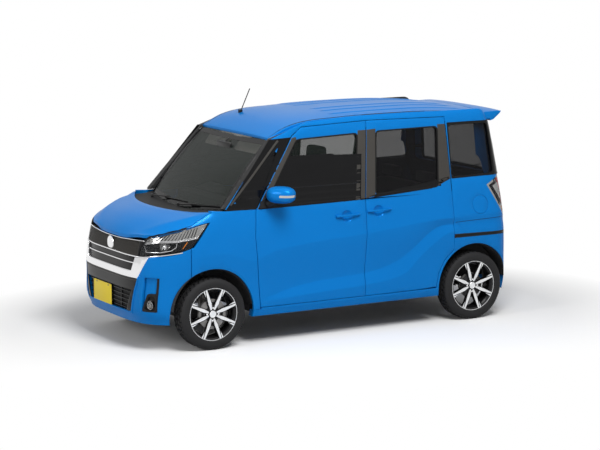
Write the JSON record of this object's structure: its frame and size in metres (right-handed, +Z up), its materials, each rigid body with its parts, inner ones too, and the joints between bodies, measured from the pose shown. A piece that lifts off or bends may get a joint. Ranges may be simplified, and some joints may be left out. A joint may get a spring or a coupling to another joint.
{
  "type": "small tall-bodied passenger car",
  "caption": "Small tall-bodied passenger car with opening doors, hood and tailgate, a hollow cabin, steered front wheels and road wheels that turn.",
  "frame": {"origin": "on the ground under the middle of the overall length, on the centreline", "axes": "+X forward, +Y to the car's left, +Z up"},
  "size_m": [3.3989, 1.716, 1.9077],
  "materials": {
    "body_paint": "metallic gloss",
    "underbody": "satin",
    "glass": "clear",
    "dark_glass": "tinted",
    "lamp_lens": "clear",
    "chrome": "polished",
    "black_trim": "grained",
    "seat_fabric": "woven",
    "iron": "cast",
    "tank": "moulded",
    "tyre": "rubber",
    "rim": "machined"
  },
  "bodies": {
    "shell": {"floor_pan": "underbody", "body_side_left": "body_paint", "body_side_right": "body_paint", "roof_panel": "body_paint", "front_fender_left": "body_paint", "front_fender_right": "body_paint", "front_bumper": "body_paint", "grille": "chrome", "intake_grille": "black_trim", "headlamp_left": "lamp_lens", "headlamp_right": "lamp_lens", "rear_bumper": "body_paint", "tail_lamp_left": "lamp_lens", "tail_lamp_right": "lamp_lens", "windscreen": "glass", "side_glass_left": "dark_glass", "side_glass_right": "dark_glass", "sliding_door_left": "body_paint", "sliding_door_right": "body_paint", "cowl": "black_trim", "engine": "iron", "fuel_tank": "tank", "front_subframe": "underbody", "rear_axle": "underbody", "dashboard": "black_trim", "steering_column": "black_trim", "front_seats": "seat_fabric", "rear_seat": "seat_fabric", "antenna": "black_trim"},
    "hood": {"hood": "body_paint"},
    "front_door_left": {"front_door_left": "body_paint", "front_glass_left": "glass", "mirror_left": "body_paint"},
    "front_door_right": {"front_door_right": "body_paint", "front_glass_right": "glass", "mirror_right": "body_paint"},
    "tailgate": {"tailgate": "body_paint", "tailgate_glass": "dark_glass", "spoiler": "body_paint"},
    "fuel_flap": {"fuel_flap": "body_paint"},
    "knuckle_left": {"knuckle_left": "iron"},
    "knuckle_right": {"knuckle_right": "iron"},
    "steering_wheel": {"steering_wheel": "black_trim"},
    "wheel_front_left": {"tyre_front_left": "tyre", "rim_front_left": "rim"},
    "wheel_front_right": {"tyre_front_right": "tyre", "rim_front_right": "rim"},
    "wheel_rear_left": {"tyre_rear_left": "tyre", "rim_rear_left": "rim"},
    "wheel_rear_right": {"tyre_rear_right": "tyre", "rim_rear_right": "rim"}
  },
  "joints": [
    {"name": "steer_left", "type": "hinge", "parent": "shell", "child": "knuckle_left", "pos_m": [1.1325, 0.565, 0.19], "axis": [0, -0.138, 0.9904], "range_deg": [-35, 35]},
    {"name": "steer_right", "type": "hinge", "parent": "shell", "child": "knuckle_right", "pos_m": [1.1325, -0.565, 0.19], "axis": [0, 0.138, 0.9904], "range_deg": [-35, 35]},
    {"name": "helm_turn", "type": "hinge", "parent": "shell", "child": "steering_wheel", "pos_m": [0.33, -0.35, 1.004], "axis": [-0.8829, 0, 0.4695], "range_deg": [-525, 525]},
    {"name": "hood_hinge", "type": "hinge", "parent": "shell", "child": "hood", "pos_m": [1.127, 0, 1.076], "axis": [0, -1, 0], "range_deg": [0, 50]},
    {"name": "front_door_left_hinge", "type": "hinge", "parent": "shell", "child": "front_door_left", "pos_m": [0.68, 0.722, 0.7], "axis": [0, 0, -1], "range_deg": [0, 65]},
    {"name": "front_door_right_hinge", "type": "hinge", "parent": "shell", "child": "front_door_right", "pos_m": [0.68, -0.722, 0.7], "axis": [0, 0, 1], "range_deg": [0, 65]},
    {"name": "tailgate_hinge", "type": "hinge", "parent": "shell", "child": "tailgate", "pos_m": [-1.52, 0, 1.712], "axis": [0, 1, 0], "range_deg": [0, 80]},
    {"name": "fuel_flap_hinge", "type": "hinge", "parent": "shell", "child": "fuel_flap", "pos_m": [-1.2835, 0.7175, 0.958], "axis": [0, 0, -1], "range_deg": [0, 100]},
    {"name": "wheel_front_left_spin", "type": "hinge", "parent": "knuckle_left", "child": "wheel_front_left", "pos_m": [1.1325, 0.65, 0.281], "axis": [0, 1, 0], "continuous": true},
    {"name": "wheel_front_right_spin", "type": "hinge", "parent": "knuckle_right", "child": "wheel_front_right", "pos_m": [1.1325, -0.65, 0.281], "axis": [0, 1, 0], "continuous": true},
    {"name": "wheel_rear_left_spin", "type": "hinge", "parent": "shell", "child": "wheel_rear_left", "pos_m": [-1.2975, 0.645, 0.281], "axis": [0, 1, 0], "continuous": true},
    {"name": "wheel_rear_right_spin", "type": "hinge", "parent": "shell", "child": "wheel_rear_right", "pos_m": [-1.2975, -0.645, 0.281], "axis": [0, 1, 0], "continuous": true}
  ],
  "couplings": [
    {"joint": "steer_right", "follows": "steer_left", "ratio": 1},
    {"joint": "helm_turn", "follows": "steer_left", "ratio": 15}
  ]
}
